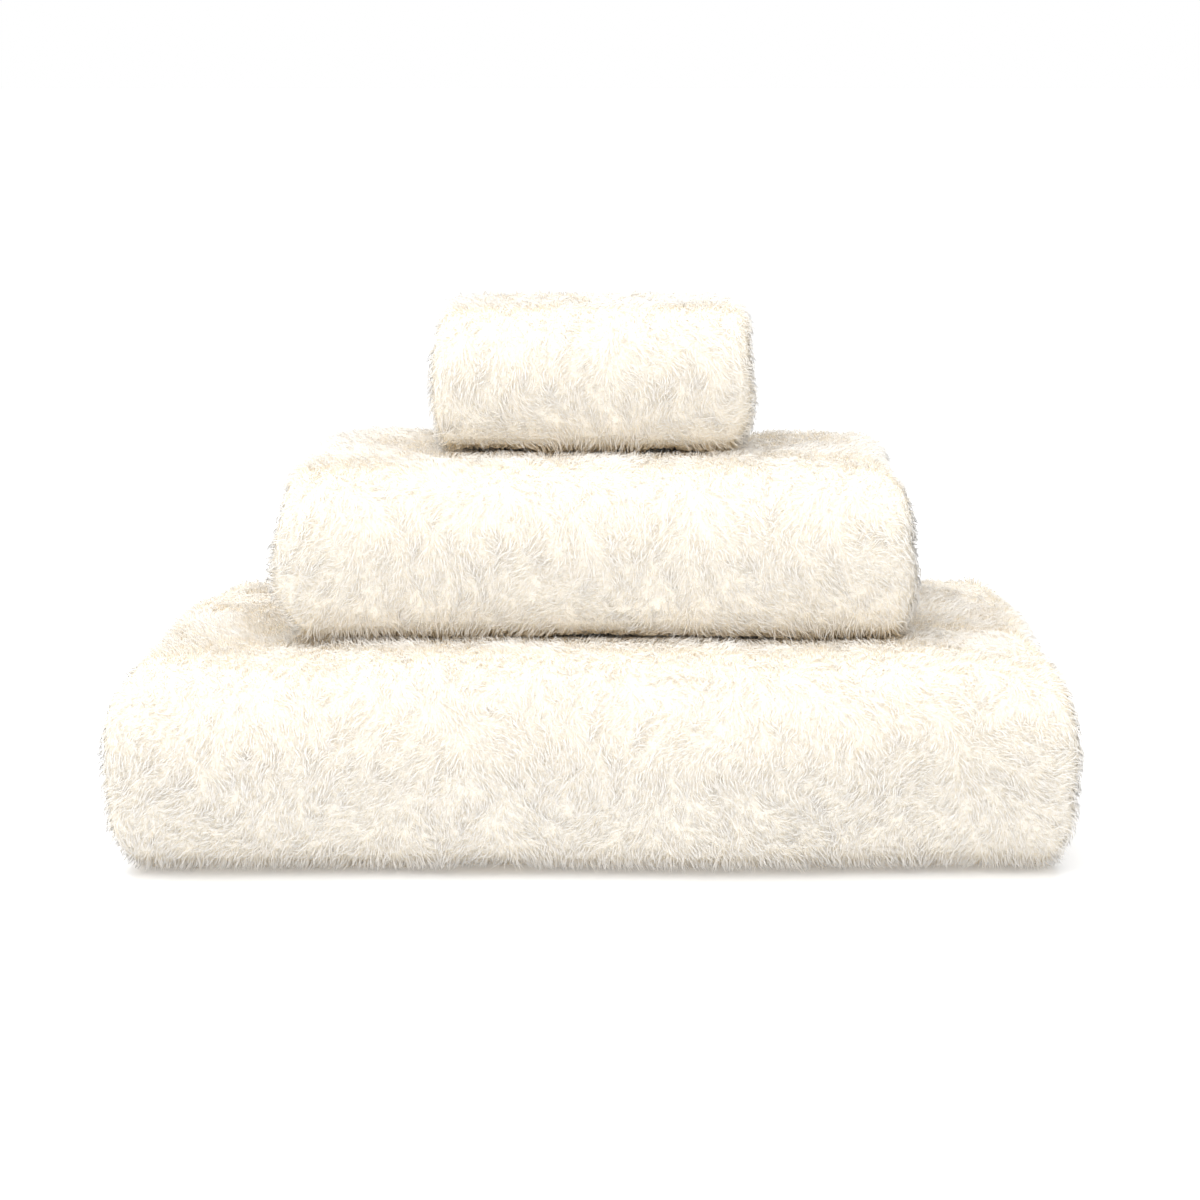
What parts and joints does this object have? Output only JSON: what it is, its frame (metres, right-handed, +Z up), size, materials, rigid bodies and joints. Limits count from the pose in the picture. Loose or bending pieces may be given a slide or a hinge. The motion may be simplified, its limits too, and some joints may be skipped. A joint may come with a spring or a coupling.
{
  "type": "folded towel stack",
  "caption": "Stack of folded long-pile ivory towels, widest at the bottom, each lifting off the one below.",
  "frame": {"origin": "middle of the stack's footprint, on the surface that it stands on", "axes": "+X to the right as seen from the rolled front folds, along the towels' long side; -Y towards the rolled front folds; +Z up"},
  "size_m": [0.508, 0.2737, 0.2826],
  "materials": {
    "ivory_pile": "fluffy long cotton pile",
    "ivory_hem": "flat woven cotton",
    "ivory_thread": "twisted sewing thread"
  },
  "bodies": {
    "bath_towel": {"bath_towel_terry": "ivory_pile", "bath_towel_tucked_end_hem": "ivory_hem", "bath_towel_tucked_end_stitching": "ivory_thread", "bath_towel_covering_end_hem": "ivory_hem", "bath_towel_covering_end_stitching": "ivory_thread", "bath_towel_first_side_hem": "ivory_hem", "bath_towel_first_side_stitching": "ivory_thread", "bath_towel_last_side_hem": "ivory_hem", "bath_towel_last_side_stitching": "ivory_thread"},
    "hand_towel": {"hand_towel_terry": "ivory_pile", "hand_towel_tucked_end_hem": "ivory_hem", "hand_towel_tucked_end_stitching": "ivory_thread", "hand_towel_covering_end_hem": "ivory_hem", "hand_towel_covering_end_stitching": "ivory_thread", "hand_towel_first_side_hem": "ivory_hem", "hand_towel_first_side_stitching": "ivory_thread", "hand_towel_last_side_hem": "ivory_hem", "hand_towel_last_side_stitching": "ivory_thread"},
    "guest_towel": {"guest_towel_terry": "ivory_pile", "guest_towel_tucked_end_hem": "ivory_hem", "guest_towel_tucked_end_stitching": "ivory_thread", "guest_towel_covering_end_hem": "ivory_hem", "guest_towel_covering_end_stitching": "ivory_thread", "guest_towel_first_side_hem": "ivory_hem", "guest_towel_first_side_stitching": "ivory_thread", "guest_towel_last_side_hem": "ivory_hem", "guest_towel_last_side_stitching": "ivory_thread"}
  },
  "joints": [
    {"name": "hand_towel_lift", "type": "slide", "parent": "bath_towel", "child": "hand_towel", "axis": [0, 0, 1], "range_m": [0, 0.2]},
    {"name": "guest_towel_lift", "type": "slide", "parent": "hand_towel", "child": "guest_towel", "axis": [0, 0, 1], "range_m": [0, 0.15]}
  ]
}
